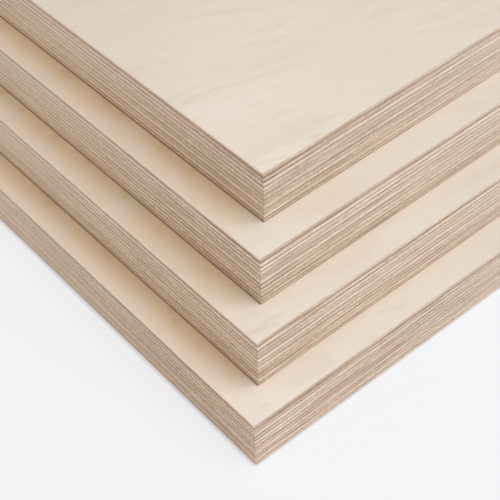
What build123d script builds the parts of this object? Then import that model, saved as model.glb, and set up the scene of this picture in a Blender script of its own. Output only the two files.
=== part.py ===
from build123d import *
import os

# A stack of plywood sheets, fanned so that each one shows a strip of its face. Millimetres.
# +Z is up, +X runs along the sheets' length and the grain of their faces, and the origin is the
# middle of the bottom sheet's underside.

# The sheets, all sawn to one size
sheet_length = 600.0
sheet_width = 300.0
arris_break = 0.25  # the sanded corner round each face, measured along the face

# The layup of a sheet: thin sanded veneers outside, and cross-laid core veneers between them
face_veneer_thickness = 1.2
core_veneer_thickness = 1.4
core_veneer_count = 9  # odd, so that both faces' grain runs along the sheet

# The stack, from the floor up
sheet_count = 4
end_set_back = 8.5  # how far a sheet's end stands back from the end of the one below
side_set_back = 8.4  # the same at its side
turn_of_each_sheet = 0.28  # degrees from the one below, about its own front corner


def layup():
    """List a sheet's veneers from the bottom up: name, thickness, and the way its bare face looks."""
    top_ply = core_veneer_count + 2
    core_plies = [
        (f"ply_{ply:02d}_{'cross' if ply % 2 == 0 else 'long'}", core_veneer_thickness, None)
        for ply in range(2, top_ply)
    ]
    return [
        ("ply_01_back", face_veneer_thickness, -Axis.Z),
        *core_plies,
        (f"ply_{top_ply:02d}_face", face_veneer_thickness, Axis.Z),
    ]


def underside_of(sheet):
    """Give the plane that a sheet lies on, with its origin at the sheet's front corner."""
    sheet_thickness = sum(thickness for _, thickness, _ in layup())
    front_corner = Vector(
        sheet * end_set_back - sheet_length / 2,
        sheet * side_set_back - sheet_width / 2,
        sheet * sheet_thickness,
    )
    return Plane(origin=front_corner).rotated((0, 0, sheet * turn_of_each_sheet))


def build_veneer(underside, thickness, bare_way):
    """Build one veneer on its underside's plane, sawn flush with the others of its sheet."""
    with BuildPart() as veneer:
        with BuildSketch(underside):
            Rectangle(sheet_length, sheet_width, align=Align.MIN)
        extrude(amount=thickness)
        if bare_way is not None:
            bare_face = veneer.faces().sort_by(bare_way)[-1]
            chamfer(bare_face.edges(), length=min(arris_break, thickness / 2))
    return veneer


os.makedirs("parts", exist_ok=True)
for sheet in range(sheet_count):
    glue_line = underside_of(sheet)
    for name, thickness, bare_way in layup():
        veneer = build_veneer(glue_line, thickness, bare_way)
        veneer.part.label = f"sheet_{sheet + 1}_{name}"
        export_step(veneer.part, f"parts/{veneer.part.label}.step")
        glue_line = glue_line.offset(thickness)
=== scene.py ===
"""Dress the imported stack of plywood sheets: veneer finishes, glue lines, camera, light and floor.

Lengths are in metres in the CAD frame, or in millimetres where a name ends in _mm: +Z up, +X along
the sheets' length and the grain of their faces, with the stack's fanned front corner towards -X
and -Y. The sheets' ends face along X and their sides along Y.
"""

import logging
import math
import random
from dataclasses import dataclass
from enum import Enum
from functools import cache, cached_property, reduce
from typing import NamedTuple

import bpy
from mathutils import Matrix, Vector


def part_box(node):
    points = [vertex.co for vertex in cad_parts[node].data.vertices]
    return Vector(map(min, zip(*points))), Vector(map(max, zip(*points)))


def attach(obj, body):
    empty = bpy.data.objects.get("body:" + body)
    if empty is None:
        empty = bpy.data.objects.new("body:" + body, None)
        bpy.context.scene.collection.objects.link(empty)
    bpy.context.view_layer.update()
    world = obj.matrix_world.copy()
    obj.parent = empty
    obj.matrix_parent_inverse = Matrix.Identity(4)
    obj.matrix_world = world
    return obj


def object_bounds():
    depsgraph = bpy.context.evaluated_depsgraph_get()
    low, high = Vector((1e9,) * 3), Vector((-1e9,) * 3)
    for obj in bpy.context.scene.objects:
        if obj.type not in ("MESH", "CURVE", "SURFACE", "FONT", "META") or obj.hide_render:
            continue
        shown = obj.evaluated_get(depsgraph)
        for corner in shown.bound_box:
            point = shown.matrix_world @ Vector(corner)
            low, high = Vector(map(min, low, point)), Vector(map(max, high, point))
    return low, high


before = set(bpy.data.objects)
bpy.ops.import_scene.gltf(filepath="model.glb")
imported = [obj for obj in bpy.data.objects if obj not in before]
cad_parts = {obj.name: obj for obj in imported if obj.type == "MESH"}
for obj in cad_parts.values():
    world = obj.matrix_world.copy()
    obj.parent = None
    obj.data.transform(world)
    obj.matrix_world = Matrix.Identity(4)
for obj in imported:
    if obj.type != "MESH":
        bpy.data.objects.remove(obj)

CAD_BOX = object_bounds()
MM = 0.001
BODY = "root"
FLOAT, VECTOR = "NodeSocketFloat", "NodeSocketVector"
ORIGIN = (0.0, 0.0, 0.0)
THROUGH_MM = 400.0  # the height of marks that run down through a veneer
FADE_SPAN_MM = (15.0, 120.0)  # from the front corner along the edges
log = logging.getLogger("plywood_stack")

Triple = tuple[float, float, float]
Colour = Triple
Span = tuple[float, float]  # the two ends of a range
Rise = tuple[float, float]  # a value where a mask is 0, and what is added where it is 1
Material = bpy.types.Material
Tree = bpy.types.NodeTree
Socket = bpy.types.NodeSocket
Sockets = bpy.types.NodeOutputs
Value = Socket | float


class Ply(Enum):
    """What a veneer is in its sheet, by the last word of its node's name."""

    BACK = "back"
    LONG = "long"
    CROSS = "cross"
    FACE = "face"


class NodeTree:
    """A node tree with short ways to add nodes and to join or set their sockets."""

    def __init__(self, tree: Tree) -> None:
        """Start from an empty tree.

        Args:
            tree: The shader or geometry tree to fill.
        """
        self.tree = tree
        tree.nodes.clear()

    def add(self, kind: str, settings: dict | None = None, **inputs) -> bpy.types.Node:
        """Add a node and feed its inputs.

        Args:
            kind: The node's type, such as "ShaderNodeMath".
            settings: Properties of the node itself.
            **inputs: A socket or a plain value for each input, by its name with _ for a space, or
                by i and its number where names repeat.

        Returns:
            The new node.
        """
        node = self.tree.nodes.new(kind)
        for name, value in (settings or {}).items():
            setattr(node, name, value)
        for name, value in inputs.items():
            numbered = name[0] == "i" and name[1:].isdigit()
            socket = node.inputs[int(name[1:]) if numbered else name.replace("_", " ")]
            if isinstance(value, Socket):
                self.tree.links.new(value, socket)
            else:
                socket.default_value = (*value, 1.0) if socket.type == "RGBA" else value
        return node

    def math(self, operation: str, a: Value, b: Value = 0.0, clamp: bool = False) -> Socket:
        """Join two values by one math operation.

        Args:
            operation: Blender's name of the operation.
            a: The first socket or number.
            b: The second socket or number.
            clamp: Whether the result is kept between 0 and 1.

        Returns:
            The result's socket.
        """
        settings = {"operation": operation, "use_clamp": clamp}
        return self.add("ShaderNodeMath", settings, i0=a, i1=b).outputs[0]

    def plus(self, *values: Value) -> Socket:
        """Add values up, from left to right."""
        return reduce(lambda total, value: self.math("ADD", total, value), values)

    def times(self, *values: Value) -> Socket:
        """Multiply values, from left to right."""
        return reduce(lambda total, value: self.math("MULTIPLY", total, value), values)

    def minus(self, a: Value, b: Value) -> Socket:
        """Take the second value from the first."""
        return self.math("SUBTRACT", a, b)

    def rise(self, mask: Value, rise: Rise) -> Socket:
        """Give a value that rises with a mask."""
        return self.plus(rise[0], self.times(mask, rise[1]))

    def remap(self, value: Value, span: tuple, onto: Span = (0.0, 1.0)) -> Socket:
        """Map a value smoothly from one range onto another, held at both ends.

        Args:
            value: The socket or number to map.
            span: The two ends of its range, as numbers or sockets.
            onto: What it is at those ends.

        Returns:
            The mapped value's socket.
        """
        settings = {"interpolation_type": "SMOOTHSTEP"}
        ends = {"i1": span[0], "i2": span[1], "i3": onto[0], "i4": onto[1]}
        return self.add("ShaderNodeMapRange", settings, i0=value, **ends).outputs[0]

    def blend(self, factor: Value, a: Value, b: Value) -> Socket:
        """Blend two values."""
        return self.add("ShaderNodeMix", {"data_type": "FLOAT"}, i0=factor, i2=a, i3=b).outputs[0]

    def mix(self, factor: Value, a, b) -> Socket:
        """Blend two colours."""
        return self.add("ShaderNodeMix", {"data_type": "RGBA"}, i0=factor, i6=a, i7=b).outputs[2]

    def layers(self, colour, *tints: tuple) -> Socket:
        """Lay tints over a colour in their order, each a pair of its mask and its colour."""
        return reduce(lambda under, tint: self.mix(tint[0], under, tint[1]), tints, colour)

    def axes(self, vector: Socket) -> Sockets:
        """Split a vector into its X, Y and Z."""
        return self.add("ShaderNodeSeparateXYZ", Vector=vector).outputs


@dataclass(frozen=True)
class Marks:
    """One kind of mark, made of stretched noise.

    The shift is added to the seed, so that no two kinds are alike. The detail counts the finer
    layers, and the roughness says how strong they are.
    """

    size_mm: Triple
    shift: float
    detail: float = 2.0
    roughness: float = 0.5


class NodeGroup(NodeTree):
    """A shader node group that several finishes place with their own values."""

    def __init__(self, name: str, inputs: dict[str, float | tuple],
                 outputs: tuple[str, ...]) -> None:
        """Make the group and its sockets.

        Args:
            name: The group's name.
            inputs: The default value of each input but the place, a number or a vector.
            outputs: The names of the outputs, which are all numbers.
        """
        super().__init__(bpy.data.node_groups.new(name, "ShaderNodeTree"))
        for title, value in {"Vector": ORIGIN, **inputs}.items():
            kind = VECTOR if isinstance(value, tuple) else FLOAT
            socket = self.tree.interface.new_socket(title, in_out="INPUT", socket_type=kind)
            socket.default_value = value
        for title in outputs:
            self.tree.interface.new_socket(title, in_out="OUTPUT", socket_type=FLOAT)
        self.input = self.add("NodeGroupInput").outputs
        self.output = self.add("NodeGroupOutput").inputs

    def give(self, title: str, socket: Socket) -> None:
        """Feed one of the group's outputs."""
        self.tree.links.new(socket, self.output[title])

    def marks(self, marks: Marks, vector: Socket | None = None) -> Socket:
        """Place one kind of mark, seeded by the group's own seed.

        Args:
            marks: The kind of mark.
            vector: The place, or None for the group's own.

        Returns:
            The noise's socket.
        """
        return self.add("ShaderNodeGroup", {"node_tree": stretched_noise_group()},
                        Vector=vector or self.input["Vector"],
                        Mark_Size=tuple(size * MM for size in marks.size_mm),
                        Seed=self.plus(self.input["Seed"], marks.shift),
                        Detail=marks.detail, Roughness=marks.roughness).outputs[0]


def put(name: str, data: bpy.types.ID) -> bpy.types.Object:
    """Put a new object into the scene."""
    thing = bpy.data.objects.new(name, data)
    bpy.context.scene.collection.objects.link(thing)
    return thing


def metres(span_mm: Span) -> Span:
    """Turn a span in millimetres into metres."""
    return span_mm[0] * MM, span_mm[1] * MM


@cache
def stretched_noise_group() -> Tree:
    """Build, once, noise that is drawn out along the axes, as fibres and growth rings are.

    Returns:
        The group, with inputs for the size of a mark along each axis in metres.
    """
    group = NodeGroup(
        "stretched_noise",
        {"Mark Size": (1.0, 1.0, 1.0), "Seed": 0.0, "Detail": 2.0, "Roughness": 0.5},
        ("Value",),
    )
    source = group.input
    scaled = group.add("ShaderNodeVectorMath", {"operation": "DIVIDE"},
                       i0=source["Vector"], i1=source["Mark Size"])
    noise = group.add("ShaderNodeTexNoise", {"noise_dimensions": "4D"}, Vector=scaled.outputs[0],
                      W=source["Seed"], Scale=1.0, Detail=source["Detail"],
                      Roughness=source["Roughness"])
    group.give("Value", noise.outputs[0])
    return group.tree


@dataclass(frozen=True)
class PeeledFigure:
    """The figure of a rotary-peeled birch face: faint ring contours and slanting flecks."""

    contours: Marks = Marks((300.0, 80.0, THROUGH_MM), 1.7, 3.0, 0.45)
    contour_count: float = 30.0
    contour_rise: Span = (0.25, 0.86)
    contour_fall: Span = (1.0, 0.88)
    contour_patches: Marks = Marks((45.0, 16.0, THROUGH_MM), 3.1, 3.0)
    contour_patch_span: Span = (0.42, 0.66)
    streaks: Marks = Marks((11.0, 2.3, THROUGH_MM), 5.3, 3.0, 0.66)
    streak_span: Span = (0.52, 0.68)
    clusters: Marks = Marks((40.0, 18.0, THROUGH_MM), 7.9)
    cluster_span: Span = (0.39, 0.57)
    fibre: Marks = Marks((16.0, 0.22, THROUGH_MM), 9.4, 3.0, 0.6)
    clouds: Marks = Marks((60.0, 24.0, THROUGH_MM), 11.2, 3.0, 0.6)
    blush: Marks = Marks((34.0, 17.0, THROUGH_MM), 13.7)

    def group(self) -> Tree:
        """Build the node group.

        Returns:
            The group, with masks for the rings, the flecks, the fine fibre and two slow drifts.
        """
        group = NodeGroup("peeled_figure", {"Slant": 0.0, "Seed": 0.0},
                          ("Rings", "Flecks", "Fibre", "Clouds", "Blush"))
        turn = group.add("ShaderNodeVectorRotate", {"rotation_type": "Z_AXIS"},
                         Vector=group.input["Vector"], Angle=group.input["Slant"]).outputs[0]

        # Ring contours: a slow, drawn-out height field cut into thin bands, shown only in places
        field_height = group.marks(self.contours, turn)
        bands = group.math("FRACT", group.times(field_height, self.contour_count))
        patches = group.marks(self.contour_patches, turn)
        rings = group.times(group.remap(bands, self.contour_rise),
                            group.remap(bands, self.contour_fall),
                            group.remap(patches, self.contour_patch_span))
        group.give("Rings", rings)

        # Flecks: short streaks in loose clusters
        streaks = group.remap(group.marks(self.streaks, turn), self.streak_span)
        clusters = group.remap(group.marks(self.clusters, turn), self.cluster_span)
        group.give("Flecks", group.times(streaks, clusters))

        group.give("Fibre", group.marks(self.fibre))
        group.give("Clouds", group.marks(self.clouds, turn))
        group.give("Blush", group.marks(self.blush, turn))
        return group.tree


@dataclass(frozen=True)
class SawnMarks:
    """The marks of a sawn veneer edge.

    Across its thickness a veneer has a pale band, and is stained towards the glue. Growth lines
    run along it, its tone and hue drift slowly, and pores show where it is end grain.
    """

    wander: Marks = Marks((14.0, 14.0, 30.0), 8.3)
    wander_share: float = 0.22
    band_fall: Span = (1.0, 0.15)
    lines: Marks = Marks((16.0, 16.0, 0.38), 0.0, 4.0, 0.62)
    drift: Marks = Marks((80.0, 80.0, 1.1), 2.3, 3.0)
    grain: Marks = Marks((1.1, 1.1, 0.26), 12.6, 3.0, 0.85)
    hue: Marks = Marks((45.0, 45.0, 9.0), 5.9)
    hue_span: Span = (0.3, 0.7)
    pores: Marks = Marks((0.32, 0.32, 0.16), 4.1)
    pore_span: Span = (0.56, 0.74)
    saw_marks: Marks = Marks((0.7, 0.7, 9.0), 6.7)

    def group(self) -> Tree:
        """Build the node group.

        Returns:
            The group, with inputs for the veneer's underside and thickness in metres, and for
            the place and reach of its pale band as shares of the thickness.
        """
        group = NodeGroup(
            "sawn_edge",
            {"Underside": 0.0, "Thickness": 1.0, "Band": 0.5, "Reach": 0.5, "Seed": 0.0},
            ("Body", "Lines", "Drift", "Hue", "Grain", "Pores", "Saw Marks"),
        )
        source = group.input

        # How far up the veneer a point is, with a slow wander of the glue's edge
        height = group.minus(group.axes(source["Vector"])["Z"], source["Underside"])
        height = group.math("DIVIDE", height, source["Thickness"])
        wander = group.minus(group.marks(self.wander), 0.5)
        height = group.plus(height, group.times(wander, self.wander_share))
        from_band = group.math("ABSOLUTE", group.minus(height, source["Band"]))
        from_band = group.math("DIVIDE", from_band, source["Reach"])
        group.give("Body", group.remap(from_band, self.band_fall))

        group.give("Lines", group.marks(self.lines))
        group.give("Drift", group.marks(self.drift))
        group.give("Grain", group.marks(self.grain))
        group.give("Hue", group.remap(group.marks(self.hue), self.hue_span))
        group.give("Pores", group.remap(group.marks(self.pores), self.pore_span))
        group.give("Saw Marks", group.marks(self.saw_marks))
        return group.tree


def front_fade_group() -> Tree:
    """Build a mask that rises from 0 at the stack's front corner to 1 away from it.

    Returns:
        The group, with the mask.
    """
    group = NodeGroup("front_fade", {}, ("Away",))
    (front_x, front_y, _), _ = CAD_BOX
    place = group.axes(group.input["Vector"])
    along = group.math("MAXIMUM", group.minus(place["X"], front_x),
                       group.minus(place["Y"], front_y))
    group.give("Away", group.remap(along, metres(FADE_SPAN_MM)))
    return group.tree


@dataclass(frozen=True)
class SheetAbove:
    """The painted shade and light that a sheet casts on the face it rests on.

    Spans out run away from the upper sheet's end, and spans along run along it from its front
    corner. The warm shade strip lies along the sheet's side instead: its span in runs towards that
    side from outside, and its span along runs along the side from the same corner.
    """

    # Painted shade: the dark line at the foot of the upper sheet's end.
    foot_shade_out_mm: Span = (0.45, 0.1)
    foot_shade_along_mm: Span = (-0.05, 0.1)
    # Painted shade: a warm tan strip beside the upper sheet's end, fading outwards.
    tan: Marks = Marks((13.0, 13.0, THROUGH_MM), 2.9, 3.0, 0.6)
    tan_shade_span: Span = (0.40, 0.60)
    tan_shade_reach_mm: Span = (3.8, 14.5)
    tan_shade_fade: Rise = (0.25, 0.75)
    tan_shade_out_mm: Span = (-0.1, 0.0)
    tan_shade_along_mm: Span = (1.0, 9.0)
    # Painted light: a paler, warmer strip in the outer part of the shade beside the upper sheet's
    # end.
    open_out_mm: Span = (2.0, 7.0)
    open_along_mm: Span = (-5.0, 3.0)
    # Painted shade: darker brown patches in the shade near the upper sheet's foot.
    patchy_shade_marks: Marks = Marks((5.0, 5.0, THROUGH_MM), 4.8)
    patchy_shade_span: Span = (0.52, 0.66)
    patchy_shade_out_mm: Span = (5.0, 0.5)
    patchy_shade_along_mm: Span = (4.0, 12.0)
    # Painted shade: a warm, darker strip on the face along the foot of the upper sheet's side.
    warm_shade_in_mm: Span = (-4.5, 0.0)
    warm_shade_along_mm: Span = (-2.0, 2.0)
    warm_shade_power: float = 2.0

    def group(self) -> Tree:
        """Build the node group.

        Returns:
            The group, with inputs for the upper sheet's front corner and turn, and masks for the
            painted shade line at its foot, the painted tan shade strip and its darker patches of
            painted shade beside its end, the painted light strip further out, and the painted
            warm shade strip along its side.
        """
        group = NodeGroup("sheet_above", {"Corner": ORIGIN, "Turn": ORIGIN, "Seed": 0.0},
                          ("Foot Shade", "Tan", "Warm Shade", "Penumbra Light", "Patchy Shade"))
        local = group.add("ShaderNodeMapping", {"vector_type": "TEXTURE"},
                          Vector=group.input["Vector"], Location=group.input["Corner"],
                          Rotation=group.input["Turn"]).outputs[0]
        place = group.axes(local)
        out = group.times(place["X"], -1.0)

        def strip(out_mm: Span, along_mm: Span) -> tuple[Socket, Socket]:
            """Mask a strip beside the upper sheet's end, out from it and along it."""
            return (group.remap(out, metres(out_mm)),
                    group.remap(place["Y"], metres(along_mm)))

        # Painted shade: a dark line at the foot of the upper sheet's end.
        group.give("Foot Shade", group.times(*strip(self.foot_shade_out_mm, self.foot_shade_along_mm)))
        # Painted light: a paler, warmer strip in the outer part of the shade beside the upper
        # sheet's end.
        group.give("Penumbra Light", group.times(*strip(self.open_out_mm, self.open_along_mm)))
        # Painted shade: darker brown patches in the shade near the upper sheet's foot.
        patches = group.remap(group.marks(self.patchy_shade_marks), self.patchy_shade_span)
        patchy_shade = strip(self.patchy_shade_out_mm, self.patchy_shade_along_mm)
        group.give("Patchy Shade", group.times(patches, *patchy_shade))

        # Painted shade: a warm tan strip beside the upper sheet's end, of wandering reach, fading
        # outwards.
        reach = group.remap(group.marks(self.tan), self.tan_shade_span, self.tan_shade_reach_mm)
        share = group.math("DIVIDE", out, group.times(reach, MM))
        tan = group.rise(group.math("SUBTRACT", 1.0, share, clamp=True), self.tan_shade_fade)
        outside, inside = strip(self.tan_shade_out_mm, self.tan_shade_along_mm)
        group.give("Tan", group.times(tan, inside, outside))

        # Painted shade: a warm, darker strip on the face along the foot of the upper sheet's side.
        warm_shade = group.remap(place["Y"], metres(self.warm_shade_in_mm))
        warm_shade = group.math("POWER", warm_shade, self.warm_shade_power)
        along = group.remap(place["X"], metres(self.warm_shade_along_mm))
        group.give("Warm Shade", group.times(warm_shade, along))
        return group.tree


@dataclass(frozen=True)
class SoftBox:
    """The mask of a soft-edged box in object coordinates, broken by drawn-out noise."""

    breaks: Marks = Marks((3.0, 3.0, 0.35), 6.1, 3.0)
    break_span: Span = (0.30, 0.55)

    def group(self) -> Tree:
        """Build the node group.

        Returns:
            The group, with inputs for the box's corners and the width of its soft border.
        """
        titles = ("Vector", "Low", "High", "Soft")
        group = NodeGroup("soft_box", {**dict.fromkeys(titles, ORIGIN), "Seed": 0.0}, ("Value",))
        place, low, high, soft = (group.axes(group.input[title]) for title in titles)
        mask = group.remap(group.marks(self.breaks), self.break_span)
        for axis in "XYZ":
            start = group.minus(low[axis], soft[axis])
            end = group.plus(high[axis], soft[axis])
            mask = group.times(mask, group.remap(place[axis], (start, low[axis])),
                               group.remap(place[axis], (end, high[axis])))
        group.give("Value", mask)
        return group.tree


class Groups:
    """The node groups that the finishes share, each built once."""

    def __init__(self) -> None:
        """Build the groups."""
        self.figure = PeeledFigure().group()
        self.edge = SawnMarks().group()
        self.fade = front_fade_group()
        self.above = SheetAbove().group()
        self.spot = SoftBox().group()


class MaterialTree(NodeTree):
    """The node tree of a new material, with the coordinates that its patterns read."""

    def __init__(self, name: str, groups: Groups | None = None) -> None:
        """Start the material.

        Args:
            name: The material's name.
            groups: The shared node groups, where the material has them.
        """
        self.material = bpy.data.materials.new(name)
        self.material.use_nodes = True
        super().__init__(self.material.node_tree)
        self.source = self.add("ShaderNodeTexCoord").outputs
        self.place = self.source["Object"]
        self.groups = groups

    @cached_property
    def normal(self) -> Sockets:
        """Give the X, Y and Z of the way that the surface faces."""
        return self.axes(self.source["Normal"])

    @cached_property
    def at_end(self) -> Socket:
        """Give the mask of the sheets' ends, which face along X."""
        return self.facing("X")

    @cached_property
    def away(self) -> Socket:
        """Give the mask that rises away from the front corner."""
        return self.shared(self.groups.fade)["Away"]

    def facing(self, axis: str) -> Socket:
        """Say how squarely the surface faces along an axis, either way."""
        return self.math("ABSOLUTE", self.normal[axis])

    def height_over(self, underside: float) -> Socket:
        """Say how far above a veneer's underside a point is."""
        return self.minus(self.axes(self.place)["Z"], underside)

    def shared(self, group: Tree, **inputs) -> Sockets:
        """Place a shared group on the object coordinates, with its own values."""
        return self.add("ShaderNodeGroup", {"node_tree": group}, Vector=self.place,
                        **inputs).outputs

    def finished_with(self, shader: bpy.types.Node) -> Material:
        """Put a shader on the surface and give the material."""
        self.add("ShaderNodeOutputMaterial", Surface=shader.outputs[0])
        return self.material


@dataclass(frozen=True)
class Blemish:
    """A local mark on one veneer, as a soft-edged box in millimetres."""

    node: str
    low_mm: Triple
    high_mm: Triple
    soft_mm: Triple
    colour: Colour
    strength: float

    def layer(self, nodes: MaterialTree) -> tuple:
        """Make the mark as a layer over a veneer's colour.

        Args:
            nodes: The material's tree.

        Returns:
            The mark's mask and its colour.
        """
        sides = {"Low": self.low_mm, "High": self.high_mm, "Soft": self.soft_mm}
        inputs = {title: tuple(value * MM for value in side) for title, side in sides.items()}
        mask = nodes.shared(nodes.groups.spot, **inputs)[0]
        return nodes.times(mask, self.strength), self.colour


BLEMISHES = (
    Blemish("sheet_2_ply_11_face", (-230.2, -142.0, 28.7), (-224.6, -140.0, 29.3),
            (0.8, 1.0, 0.3), (0.42, 0.21, 0.15), 0.6),
    Blemish("sheet_2_ply_11_face", (-238.2, -142.0, 28.7), (-235.6, -140.0, 29.2),
            (0.6, 1.0, 0.3), (0.38, 0.19, 0.13), 0.6),
    # A faint brownish patch on sheet 1's face, along the foot of sheet 2's side.
    Blemish("sheet_1_ply_11_face", (-237.5, -143.6, 14.0), (-231.6, -140.0, 16.0),
            (0.6, 1.6, 1.0), (0.79, 0.64, 0.48), 0.3),
)


@dataclass(frozen=True)
class Veneer:
    """A veneer's place in the stack, and the tone and figure that were drawn for it."""

    node: str
    ply: Ply
    sheet: int
    tone: float
    seed: float
    slant: float
    underside: float
    thickness: float
    band: float
    reach: float
    corner_above: Vector | None
    turn_above: float


class Look(NamedTuple):
    """The colour, roughness and height of a surface."""

    colour: Socket
    roughness: Socket
    height: Socket


@dataclass(frozen=True)
class SawnEdge:
    """How a veneer looks where it was sawn.

    The tone of the wood goes from 0, stained, to 1, pale.
    """

    stained: Colour = (0.415, 0.275, 0.175)
    pale: Colour = (0.89, 0.73, 0.568)
    rosy: Colour = (0.74, 0.52, 0.44)
    grey: Colour = (0.58, 0.52, 0.42)
    worn: Colour = (0.72, 0.645, 0.57)
    light_line: Colour = (0.94, 0.84, 0.72)
    dark_line: Colour = (0.30, 0.19, 0.12)
    end_grain_span: Span = (0.6, 0.8)
    end_grain_drop: float = 0.06
    drift_by_end: Rise = (0.65, 0.35)
    stain_by_end: Rise = (0.5, 0.3)
    grain_by_end: Rise = (3.1, 2.5)
    streaks: float = 3.0
    contrast_pivot: float = 0.33
    middle_tone: float = 0.50
    end_contrast: float = 0.18
    far_contrast: float = -0.15
    # Painted light: the ends are lifted paler, more so away from the front corner.
    end_light_by_distance: Rise = (0.11, 0.24)
    tint_by_end: Rise = (0.22, 0.08)
    lines_by_distance: Rise = (1.0, -0.3)
    dark_line_span: Span = (0.40, 0.30)
    dark_line_share: float = 0.4
    light_line_span: Span = (0.58, 0.70)
    light_line_by_end: Rise = (0.5, -0.25)
    far_wear: float = 0.25
    pore_share: float = 0.35
    roughness_by_lines: Rise = (0.62, 0.2)
    saw_relief: float = 0.6

    def tone(self, nodes: MaterialTree, veneer: Veneer, marks: Sockets,
             end_grain: Value) -> Socket:
        """Work out how pale the wood is from point to point, with painted light on the ends.

        Args:
            nodes: The material's tree.
            veneer: The veneer.
            marks: The outputs of the sawn edge group.
            end_grain: The mask of the sides that cut across the grain.

        Returns:
            The tone.
        """
        at_end = nodes.at_end
        drift, streaks, grain = (nodes.minus(marks[title], 0.5)
                                 for title in ("Drift", "Lines", "Grain"))
        drift = nodes.times(drift, nodes.rise(at_end, self.drift_by_end))
        peak = nodes.minus(nodes.plus(drift, veneer.tone),
                           nodes.times(end_grain, self.end_grain_drop))
        stain = nodes.times(nodes.minus(1.0, marks["Body"]), nodes.rise(at_end, self.stain_by_end))
        tone = nodes.plus(nodes.times(nodes.minus(1.0, stain), peak),
                          nodes.times(streaks, self.streaks),
                          nodes.times(grain, nodes.rise(at_end, self.grain_by_end)))
        contrast = nodes.plus(nodes.times(at_end, self.end_contrast),
                              nodes.times(nodes.away, self.far_contrast), 1.0)
        tone = nodes.times(nodes.minus(tone, self.contrast_pivot), contrast)
        tone = nodes.math("ADD", tone, self.middle_tone, clamp=True)
        # Painted light: the ends are lifted paler, more so away from the front corner.
        lift = nodes.rise(nodes.away, self.end_light_by_distance)
        return nodes.plus(tone, nodes.times(lift, at_end))

    def look(self, nodes: MaterialTree, veneer: Veneer) -> Look:
        """Dress the sawn edge.

        Args:
            nodes: The material's tree.
            veneer: The veneer.

        Returns:
            The edge's look.
        """
        marks = nodes.shared(nodes.groups.edge, Underside=veneer.underside, Band=veneer.band,
                             Thickness=veneer.thickness, Reach=veneer.reach, Seed=veneer.seed)
        at_end = nodes.at_end
        cut_across = nodes.facing("Y") if veneer.ply is Ply.CROSS else at_end
        end_grain = nodes.remap(cut_across, self.end_grain_span)
        tone = self.tone(nodes, veneer, marks, end_grain)
        hue = nodes.mix(marks["Hue"], self.rosy, self.grey)
        shown = nodes.rise(nodes.away, self.lines_by_distance)
        dark = nodes.times(nodes.remap(marks["Lines"], self.dark_line_span),
                           self.dark_line_share, shown)
        light = nodes.times(nodes.remap(marks["Lines"], self.light_line_span),
                            nodes.rise(at_end, self.light_line_by_end), shown)
        pores = nodes.times(marks["Pores"], end_grain, self.pore_share)
        colour = nodes.layers(
            self.stained,
            (tone, self.pale),
            (nodes.rise(at_end, self.tint_by_end), hue),
            (dark, self.dark_line),
            (light, self.light_line),
            (nodes.times(nodes.away, self.far_wear), self.worn),
            (pores, self.dark_line),
        )
        relief = nodes.plus(nodes.minus(marks["Lines"], pores),
                            nodes.times(marks["Saw Marks"], self.saw_relief))
        return Look(colour, nodes.rise(marks["Lines"], self.roughness_by_lines), relief)


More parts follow.
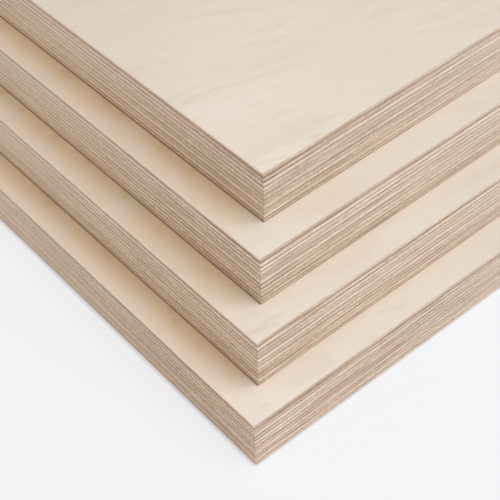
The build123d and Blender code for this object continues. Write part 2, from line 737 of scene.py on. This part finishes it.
@dataclass(frozen=True)
class SandedFace:
    """How a bare, sanded face looks, with its broken arris, paled at the ends as sanded wear and as
    a painted highlight, and with painted shade away from the front corner.
    """

    bare: Colour = (0.80, 0.729, 0.648)
    covered: Colour = (0.80, 0.734, 0.66)
    blush: Colour = (0.80, 0.695, 0.625)
    ring: Colour = (0.665, 0.555, 0.42)
    fleck: Colour = (0.60, 0.50, 0.35)
    # Painted shade: the darker face away from the front corner.
    far_shade: Colour = (0.655, 0.575, 0.50)
    # The paler arris: sanded wear and a painted highlight.
    arris: Colour = (0.86, 0.77, 0.67)
    seam: Colour = SawnEdge.dark_line
    blush_span: Span = (0.43, 0.61)
    blush_shares: Span = (0.0, 0.65)
    cloud_span: Span = (0.35, 0.65)
    cloud_shares: Span = (0.0, 0.20)
    ring_share: float = 0.38
    fleck_share: float = 0.36
    fibre_span: Span = (0.3, 0.7)
    fibre_shares: Span = (0.0, 0.10)
    far_shade_share: float = 0.52
    roughness_by_fibre: Rise = (0.5, 0.16)
    fibre_relief: float = 0.5
    lean_to_side: float = 0.4
    flat_span: Span = (0.35, 0.6)
    arris_span: Span = (0.4, 0.6)
    arris_shade: float = 0.15
    end_arris_wear_and_highlight_span: Span = (0.5, 0.7)
    seam_span_mm: Span = (0.75, 0.1)
    seam_by_end: Rise = (0.6, -0.3)

    def look(self, nodes: MaterialTree, veneer: Veneer, edge: Look) -> Look:
        """Put the sanded face over the look of the sawn edge.

        Args:
            nodes: The material's tree.
            veneer: The veneer.
            edge: The look of the sawn edge.

        Returns:
            The look of the whole veneer.
        """
        figure = nodes.shared(nodes.groups.figure, Seed=veneer.seed, Slant=veneer.slant)
        # Painted shade: the face darkens away from the front corner.
        far_shade_mask = nodes.times(nodes.away, self.far_shade_share)
        # The end arris is paled, partly as sanded wear and partly as a painted highlight, less so
        # in the painted shade away from the corner.
        end_arris_wear_and_highlight = nodes.times(nodes.remap(nodes.at_end, self.end_arris_wear_and_highlight_span),
                                nodes.minus(1.0, far_shade_mask))
        face_colour = nodes.layers(
            self.bare if veneer.corner_above is None else self.covered,
            (nodes.remap(figure["Blush"], self.blush_span, self.blush_shares), self.blush),
            (nodes.remap(figure["Clouds"], self.cloud_span, self.cloud_shares), self.ring),
            (nodes.times(figure["Rings"], self.ring_share), self.ring),
            (nodes.times(figure["Flecks"], self.fleck_share), self.fleck),
            (nodes.remap(figure["Fibre"], self.fibre_span, self.fibre_shares), self.ring),
            (far_shade_mask, self.far_shade),
            (end_arris_wear_and_highlight, self.arris),
        )
        upright = nodes.facing("Z")
        lean = nodes.times(nodes.facing("Y"), self.lean_to_side)
        flat = nodes.remap(nodes.minus(upright, lean), self.flat_span)
        arris = nodes.times(nodes.remap(upright, self.arris_span), nodes.minus(1.0, flat))
        edge_colour = edge.colour
        if veneer.ply is Ply.FACE:
            near_glue = nodes.remap(nodes.height_over(veneer.underside), metres(self.seam_span_mm))
            seam = nodes.times(near_glue, nodes.rise(nodes.at_end, self.seam_by_end))
            edge_colour = nodes.mix(seam, edge_colour, self.seam)
        edge_colour = nodes.mix(nodes.times(arris, self.arris_shade), edge_colour, self.seam)
        return Look(
            nodes.mix(flat, edge_colour, face_colour),
            nodes.blend(flat, edge.roughness, nodes.rise(figure["Fibre"], self.roughness_by_fibre)),
            nodes.blend(flat, edge.height, nodes.times(figure["Fibre"], self.fibre_relief)),
        )


@dataclass(frozen=True)
class PaintedRestShade:
    """Painted shade and light where one sheet rests on another, stronger on the lower sheets."""

    # Painted shade: the colour of the dark line at the foot of the sheet above.
    foot_shade: Colour = (0.21, 0.095, 0.03)
    # Painted shade: the warm tan of the strip beside the sheet above's end.
    tan_shade_colour: Colour = (0.77, 0.60, 0.40)
    # Painted shade: the colour of the darker patches in the shade.
    patchy_shade: Colour = (0.62, 0.42, 0.23)
    # Painted light: the paler, warmer colour of the outer part of the shade.
    open: Colour = (0.86, 0.735, 0.61)
    # Painted shade: the warm colour along the foot of the sheet above's side.
    warm_shade: Colour = (0.785, 0.66, 0.535)
    facing_front: Span = (0.5, 0.7)
    facing_up: Span = (0.6, 0.9)
    foot_shade_span_mm: Span = (0.5, 0.1)
    end_foot_shade_share: float = 0.57
    face_foot_shade_share: float = 0.62
    tan_shade_share: float = 0.88
    patchy_shade_share: float = 0.4
    open_shares: tuple[float, ...] = (0.75, 0.4, 0.4)
    warm_shade_shares: tuple[float, ...] = (0.9, 0.9, 0.55)

    def layers(self, nodes: MaterialTree, veneer: Veneer) -> list[tuple]:
        """Make the painted shade and light as layers over the veneer's colour.

        Args:
            nodes: The material's tree.
            veneer: The veneer.

        Returns:
            The mask and the colour of each painted layer.
        """
        if veneer.ply is Ply.BACK and veneer.sheet > 1:
            # Painted shade: a dark line along the foot of the upper sheets' front ends.
            front = nodes.remap(nodes.times(nodes.normal["X"], -1.0), self.facing_front)
            low = nodes.remap(nodes.height_over(veneer.underside), metres(self.foot_shade_span_mm))
            return [(nodes.times(front, low, self.end_foot_shade_share), self.foot_shade)]
        if veneer.ply is not Ply.FACE or veneer.corner_above is None:
            return []
        marks = nodes.shared(nodes.groups.above, Corner=veneer.corner_above,
                             Turn=(0.0, 0.0, veneer.turn_above), Seed=veneer.seed)
        top = nodes.remap(nodes.normal["Z"], self.facing_up)
        # Painted shade and light on the face beside the sheet above.
        tints = (
            ("Tan", self.tan_shade_share, self.tan_shade_colour),
            ("Patchy Shade", self.patchy_shade_share, self.patchy_shade),
            ("Penumbra Light", self.open_shares[veneer.sheet - 1], self.open),
            ("Warm Shade", self.warm_shade_shares[veneer.sheet - 1], self.warm_shade),
            ("Foot Shade", self.face_foot_shade_share, self.foot_shade),
        )
        return [(nodes.times(marks[title], top, share), tint) for title, share, tint in tints]


@dataclass(frozen=True)
class VeneerFinish:
    """The finish of one veneer: its sawn edge, and its face where that lies bare."""

    veneer: Veneer
    groups: Groups
    edge: SawnEdge = SawnEdge()
    face: SandedFace = SandedFace()
    rest_shade: PaintedRestShade = PaintedRestShade()
    relief: float = 0.35
    relief_depth: float = 0.04 * MM
    specular: float = 0.3

    def material(self) -> Material:
        """Make the veneer's material.

        Returns:
            The material, patterned in object coordinates.
        """
        nodes = MaterialTree(f"{self.veneer.node}_finish", self.groups)
        look = self.edge.look(nodes, self.veneer)
        if self.veneer.ply in (Ply.FACE, Ply.BACK):
            look = self.face.look(nodes, self.veneer, look)
        blemishes = [blemish.layer(nodes) for blemish in BLEMISHES
                     if blemish.node == self.veneer.node]
        # Painted shade and light where the sheet above rests on this one.
        rest_shade = self.rest_shade.layers(nodes, self.veneer)
        colour = nodes.layers(look.colour, *rest_shade, *blemishes)
        bump = nodes.add("ShaderNodeBump", Strength=self.relief, Distance=self.relief_depth,
                         Height=look.height)
        shader = nodes.add("ShaderNodeBsdfPrincipled", Base_Color=colour,
                           Roughness=look.roughness, Normal=bump.outputs[0],
                           Specular_IOR_Level=self.specular)
        return nodes.finished_with(shader)


@dataclass(frozen=True)
class GlueFinish:
    """The dark resin of a glue line, thin and broken along its length."""

    groups: Groups
    dark: Colour = (0.15, 0.08, 0.045)
    pale: Colour = (0.55, 0.40, 0.275)
    mark_size: Triple = (16 * MM, 16 * MM, 0.9 * MM)
    mark_detail: float = 4.0
    seed: float = 31.0
    end_drop: float = 0.07
    pale_span: Span = (0.41, 0.61)
    dark_by_distance: Rise = (1.0, -0.50)
    roughness_by_paleness: Rise = (0.45, 0.25)

    def material(self) -> Material:
        """Make the glue's material.

        Returns:
            The material, patterned in object coordinates.
        """
        nodes = MaterialTree("glue_finish", self.groups)
        marks = nodes.shared(stretched_noise_group(), Mark_Size=self.mark_size, Seed=self.seed,
                             Detail=self.mark_detail)[0]
        marks = nodes.minus(marks, nodes.times(nodes.at_end, self.end_drop))
        dark = nodes.minus(1.0, nodes.remap(marks, self.pale_span))
        dark = nodes.times(dark, nodes.rise(nodes.away, self.dark_by_distance))
        paleness = nodes.minus(1.0, dark)
        shader = nodes.add("ShaderNodeBsdfPrincipled",
                           Base_Color=nodes.mix(paleness, self.dark, self.pale),
                           Roughness=nodes.rise(paleness, self.roughness_by_paleness))
        return nodes.finished_with(shader)


def glue_lines_tree() -> Tree:
    """Build the geometry tree that lays thin rings of glue round a sheet.

    Returns:
        A tree with named inputs for the sheet's outline, the lines' heights and their wander.
    """
    tree = bpy.data.node_groups.new("glue_lines", "GeometryNodeTree")
    nodes = NodeTree(tree)
    titles = {
        FLOAT: ("Length", "Width", "Line Height", "Depth", "First Line", "Spacing",
                "Piece Length", "Thinnest", "Thickest", "Wander", "Wander Scale"),
        "NodeSocketInt": ("Lines", "Seed"),
        "NodeSocketMaterial": ("Glue",),
    }
    for kind, names in titles.items():
        for title in names:
            tree.interface.new_socket(title, in_out="INPUT", socket_type=kind)
    tree.interface.new_socket("Geometry", in_out="OUTPUT", socket_type="NodeSocketGeometry")
    source = nodes.add("NodeGroupInput").outputs

    # One ring: the sheet's outline, cut into short pieces so that it can wander
    outline = nodes.add("GeometryNodeCurvePrimitiveQuadrilateral", Width=source["Length"],
                        Height=source["Width"]).outputs[0]
    longest = nodes.math("MAXIMUM", source["Length"], source["Width"])
    cut = nodes.add("GeometryNodeSubdivideCurve", Curve=outline,
                    Cuts=nodes.math("DIVIDE", longest, source["Piece Length"]))
    section = nodes.add("GeometryNodeCurvePrimitiveQuadrilateral", Width=source["Depth"],
                        Height=source["Line Height"]).outputs[0]
    ring = nodes.add("GeometryNodeCurveToMesh", Curve=cut.outputs[0], Profile_Curve=section)

    # A ring at each seam, some thinner and some thicker
    step = nodes.add("ShaderNodeCombineXYZ", Z=source["Spacing"]).outputs[0]
    start = nodes.add("ShaderNodeCombineXYZ", Z=source["First Line"]).outputs[0]
    heights = nodes.add("GeometryNodeMeshLine", Count=source["Lines"], Start_Location=start,
                        Offset=step).outputs[0]
    thickness = nodes.add("FunctionNodeRandomValue", {"data_type": "FLOAT"}, Seed=source["Seed"],
                          i2=source["Thinnest"], i3=source["Thickest"])
    scale = nodes.add("ShaderNodeCombineXYZ", X=1.0, Y=1.0, Z=thickness.outputs[1]).outputs[0]
    rings = nodes.add("GeometryNodeInstanceOnPoints", Points=heights, Instance=ring.outputs[0],
                      Scale=scale).outputs[0]
    real = nodes.add("GeometryNodeRealizeInstances", Geometry=rings).outputs[0]

    # A slow wander up and down, and the glue's material
    place = nodes.add("GeometryNodeInputPosition").outputs[0]
    noise = nodes.add("ShaderNodeTexNoise", {"noise_dimensions": "4D"}, Vector=place,
                      W=source["Seed"], Scale=source["Wander Scale"], Detail=2.0).outputs[0]
    lift = nodes.times(nodes.minus(noise, 0.5), source["Wander"])
    offset = nodes.add("ShaderNodeCombineXYZ", Z=lift).outputs[0]
    moved = nodes.add("GeometryNodeSetPosition", Geometry=real, Offset=offset).outputs[0]
    glued = nodes.add("GeometryNodeSetMaterial", Geometry=moved, Material=source["Glue"]).outputs[0]
    nodes.add("NodeGroupOutput", i0=glued)
    return tree


@dataclass
class PlywoodSheet:
    """One sheet of the stack: its place, its veneers and the glue lines round its sawn edges."""

    number: int
    length: float = 600 * MM
    width: float = 300 * MM
    end_set_back: float = 8.5 * MM
    side_set_back: float = 8.4 * MM
    turn: float = math.radians(0.28)
    glue_height: float = 0.18 * MM
    glue_height_spread: Span = (0.55, 1.5)
    glue_depth: float = 0.1 * MM
    glue_proud: float = 0.015 * MM
    glue_piece: float = 5 * MM
    glue_wander: float = 0.12 * MM
    glue_wander_scale: float = 22.0

    @cached_property
    def nodes(self) -> list[str]:
        """List the sheet's veneers in the frame, from the underside up."""
        start = f"sheet_{self.number}_"
        return sorted(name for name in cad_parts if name.startswith(start))

    def corner(self) -> Vector:
        """Give the place of the sheet's front corner, on its underside."""
        step = self.number - 1
        low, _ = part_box(self.nodes[0])
        return Vector((step * self.end_set_back - self.length / 2,
                       step * self.side_set_back - self.width / 2, low.z))

    def turned(self) -> float:
        """Give the sheet's turn about its front corner."""
        return (self.number - 1) * self.turn

    def place(self) -> Matrix:
        """Give the turn and place of the sheet's middle on its underside."""
        middle = Matrix.Translation((self.length / 2, self.width / 2, 0))
        turn = Matrix.Rotation(self.turned(), 4, "Z")
        return Matrix.Translation(self.corner()) @ turn @ middle

    def glue_lines(self, tree: Tree, glue: Material) -> bpy.types.Object:
        """Lay a thin ring of glue between every two veneers.

        Args:
            tree: The geometry tree of glue lines.
            glue: The glue's material.

        Returns:
            The piece, riding on the stack.
        """
        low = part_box(self.nodes[0])[0].z
        seams = [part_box(node)[0].z - low for node in self.nodes[1:]]
        inset = self.glue_depth - 2 * self.glue_proud
        thinnest, thickest = self.glue_height_spread
        values = {
            "Length": self.length - inset, "Width": self.width - inset,
            "Line Height": self.glue_height, "Thinnest": thinnest, "Thickest": thickest,
            "Depth": self.glue_depth, "First Line": seams[0], "Spacing": seams[1] - seams[0],
            "Lines": len(seams), "Piece Length": self.glue_piece, "Wander": self.glue_wander,
            "Wander Scale": self.glue_wander_scale, "Seed": self.number, "Glue": glue,
        }
        name = f"sheet_{self.number}_glue_lines"
        holder = put(name, bpy.data.meshes.new(name))
        modifier = holder.modifiers.new("lay_glue", "NODES")
        modifier.node_group = tree
        for item in tree.interface.items_tree:
            if item.in_out == "INPUT":
                modifier[item.identifier] = values[item.name]
        graph = bpy.context.evaluated_depsgraph_get()
        mesh = bpy.data.meshes.new_from_object(holder.evaluated_get(graph), depsgraph=graph)
        holder.modifiers.clear()
        mesh.transform(self.place())
        bpy.data.objects.remove(holder)
        piece = put(name, mesh)
        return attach(piece, BODY)


@dataclass
class PlywoodStack:
    """All the sheets, with the tones of their veneers drawn from one seed."""

    sheets: int = 4
    seed: int = 144025
    cross_tone: Span = (0.22, 0.84)
    long_tone: Span = (0.10, 0.72)
    back_tone: Span = (-0.05, 0.35)
    face_tone: Span = (-0.18, 0.06)
    sheet_tone: tuple[float, ...] = (-0.12, 0.01, 0.06, -0.12)
    pattern_seed: Span = (0.0, 100.0)
    band_place: Span = (0.30, 0.70)
    band_reach: Span = (0.32, 0.60)
    face_band: Span = (0.9, 1.1)
    slant: float = math.radians(19)
    slant_spread: Span = (0.8, 1.2)

    def __post_init__(self) -> None:
        """Build what the sheets share, and start the draw."""
        self.draw = random.Random(self.seed)
        self.groups = Groups()
        self.tree = glue_lines_tree()

    def finish_of(self, node: str, sheet: PlywoodSheet,
                  above: PlywoodSheet | None) -> VeneerFinish:
        """Choose the finish of a veneer by the name of its node.

        Args:
            node: The CAD node's name.
            sheet: The veneer's sheet.
            above: The sheet that rests on it, if any.

        Returns:
            The finish, with its own tone and seed.
        """
        ply = Ply(node.rsplit("_", 1)[1])
        tones = {Ply.CROSS: self.cross_tone, Ply.LONG: self.long_tone,
                 Ply.BACK: self.back_tone, Ply.FACE: self.face_tone}
        tone = self.draw.uniform(*tones[ply]) + self.sheet_tone[sheet.number - 1]
        seed = self.draw.uniform(*self.pattern_seed)
        slant = self.slant * self.draw.uniform(*self.slant_spread)
        band = self.draw.uniform(*self.band_place)
        reach = self.draw.uniform(*self.band_reach)
        if ply is Ply.FACE:
            band, reach = self.face_band
        low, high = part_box(node)
        veneer = Veneer(node, ply, sheet.number, tone, seed, slant, low.z, high.z - low.z, band,
                        reach, above.corner() if above else None, above.turned() if above else 0.0)
        return VeneerFinish(veneer, self.groups)

    def build(self) -> None:
        """Dress every sheet's veneers and lay its glue lines."""
        glue = GlueFinish(self.groups).material()
        sheets = [PlywoodSheet(number) for number in range(1, self.sheets + 1)]
        for sheet, above in zip(sheets, [*sheets[1:], None]):
            for node in sheet.nodes:
                material = self.finish_of(node, sheet, above).material()
                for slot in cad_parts[node].material_slots:
                    slot.material = material
            lines = sheet.glue_lines(self.tree, glue)
            log.info("sheet %d: %d veneers dressed, glue lines of %d faces", sheet.number,
                     len(sheet.nodes), len(lines.data.polygons))


@dataclass(frozen=True)
class SoftLight:
    """A square soft light that looks at the stack's front corner.

    Its height is an angle above the floor. Its side is an angle from the camera's heading, to the
    right where positive. Its power is in watts.
    """

    name: str
    size: float
    distance: float
    height: float
    side: float
    power: float
    colour: Colour

    def hang(self, heading: float) -> None:
        """Hang the light.

        Args:
            heading: The camera's heading, clockwise from +Y.
        """
        lamp = bpy.data.lights.new(self.name, "AREA")
        lamp.shape = "SQUARE"
        lamp.size = self.size
        lamp.energy = self.power
        lamp.color = self.colour
        light = put(self.name, lamp)
        corner = Vector((CAD_BOX[0][0], CAD_BOX[0][1], CAD_BOX[1][2] / 2))
        bearing = heading + self.side
        way = Vector((math.sin(bearing) * math.cos(self.height),
                      math.cos(bearing) * math.cos(self.height), math.sin(self.height)))
        light.matrix_world = (Matrix.Translation(corner + way * self.distance)
                              @ way.to_track_quat("Z", "Y").to_matrix().to_4x4())


@dataclass
class Studio:
    """The pale floor, the soft lights and the camera at the photograph's viewing angle."""

    camera_place: Triple = (-409.76 * MM, -286.08 * MM, 255.53 * MM)
    camera_heading: float = math.radians(39.024)
    camera_down: float = math.radians(46.213)
    camera_roll: float = math.radians(-2.024)
    lens_mm: float = 93.489
    sensor_mm: float = 36.0
    key: SoftLight = SoftLight("key", 1.0, 0.9, math.radians(55), math.radians(108), 8.6,
                               (0.80, 0.89, 0.97))
    fill: SoftLight = SoftLight("fill", 1.4, 1.6, math.radians(14), math.radians(-100), 4.0,
                                (1.0, 0.92, 0.84))
    sky_strength: float = 0.5
    low_sky: Colour = (1.0, 0.96, 0.92)
    high_sky: Colour = (1.0, 0.83, 0.63)
    sky_span: Span = (0.1, 0.8)
    floor_size: float = 30.0
    floor_colour: Colour = (0.91, 0.91, 0.925)
    shaded_floor: Colour = (0.90, 0.93, 1.0)
    floor_shade: float = 0.17
    # Painted contact shadow in the floor's glow, by ambient occlusion near the stack.
    contact_shadow_colour: Colour = (0.28, 0.17, 0.12)
    side_contact_shadow_reach: float = 0.75 * MM
    end_contact_shadow_reach: float = 1.3 * MM
    contact_shadow_blend: float = 0.3 * MM

    def build(self) -> None:
        """Make the camera, the lights, the world and the floor."""
        self.camera()
        self.key.hang(self.camera_heading)
        self.fill.hang(self.camera_heading)
        self.world()
        self.floor()
        bpy.context.scene.view_settings.view_transform = "Standard"
        log.info("studio: camera, two area lights, world and floor")

    def camera(self) -> None:
        """Set the camera at the front corner, looking down on the fanned edges."""
        lens = bpy.data.cameras.new("camera")
        lens.lens = self.lens_mm
        lens.sensor_width = self.sensor_mm
        camera = put("camera", lens)
        heading = Matrix.Rotation(-self.camera_heading, 4, "Z")
        down = Matrix.Rotation(math.radians(90) - self.camera_down, 4, "X")
        roll = Matrix.Rotation(self.camera_roll, 4, "Z")
        camera.matrix_world = Matrix.Translation(self.camera_place) @ heading @ down @ roll
        bpy.context.scene.camera = camera

    def world(self) -> None:
        """Fill the studio with weak light, warmer from above, and show a pale backdrop."""
        world = bpy.data.worlds.new("studio")
        bpy.context.scene.world = world
        world.use_nodes = True
        nodes = NodeTree(world.node_tree)
        way = nodes.axes(nodes.add("ShaderNodeTexCoord").outputs["Generated"])
        sky = nodes.mix(nodes.remap(way["Z"], self.sky_span), self.low_sky, self.high_sky)
        light = nodes.add("ShaderNodeBackground", Color=sky, Strength=self.sky_strength)
        backdrop = nodes.add("ShaderNodeBackground", Color=self.floor_colour, Strength=1.0)
        mixed = nodes.add("ShaderNodeMixShader", i0=self.seen_directly(nodes),
                          i1=light.outputs[0], i2=backdrop.outputs[0])
        nodes.add("ShaderNodeOutputWorld", Surface=mixed.outputs[0])

    @staticmethod
    def seen_directly(nodes: NodeTree) -> Socket:
        """Mask the rays that come from the camera, straight or by a clear reflection."""
        path = nodes.add("ShaderNodeLightPath").outputs
        shown = nodes.math("MAXIMUM", path["Is Camera Ray"], path["Is Glossy Ray"])
        return nodes.math("MAXIMUM", shown, path["Is Transmission Ray"])

    def floor(self) -> None:
        """Lay the pale floor, which takes a soft share of the stack's shadow."""
        half = self.floor_size / 2
        mesh = bpy.data.meshes.new("floor")
        corners = [(-half, -half, 0), (half, -half, 0), (half, half, 0), (-half, half, 0)]
        mesh.from_pydata(corners, [], [(0, 1, 2, 3)])
        mesh.materials.append(self.floor_finish())
        floor = put("floor", mesh)

    def floor_finish(self) -> Material:
        """Make the floor's material, with a painted contact shadow where it touches the stack.

        Returns:
            The material.
        """
        nodes = MaterialTree("floor_finish")
        matte = nodes.add("ShaderNodeBsdfDiffuse", Color=self.shaded_floor)
        side = CAD_BOX[0][1]
        reach = nodes.remap(nodes.axes(nodes.place)["Y"],
                            (side - self.contact_shadow_blend, side + self.contact_shadow_blend),
                            (self.side_contact_shadow_reach, self.end_contact_shadow_reach))
        # Painted contact shadow: the glow darkens by ambient occlusion near the stack.
        contact_shadow = nodes.add("ShaderNodeAmbientOcclusion", Distance=reach).outputs["AO"]
        shaded = nodes.mix(contact_shadow, self.contact_shadow_colour, self.floor_colour)
        glow = nodes.add("ShaderNodeEmission", Color=shaded, Strength=1.0)
        share = nodes.times(self.seen_directly(nodes), 1 - self.floor_shade)
        mixed = nodes.add("ShaderNodeMixShader", i0=share, i1=matte.outputs[0], i2=glow.outputs[0])
        return nodes.finished_with(mixed)


def main() -> None:
    """Dress the stack and set up the studio."""
    logging.basicConfig(level=logging.INFO, format="%(name)s: %(message)s")
    PlywoodStack().build()
    Studio().build()


if __name__ == "__main__":
    main()
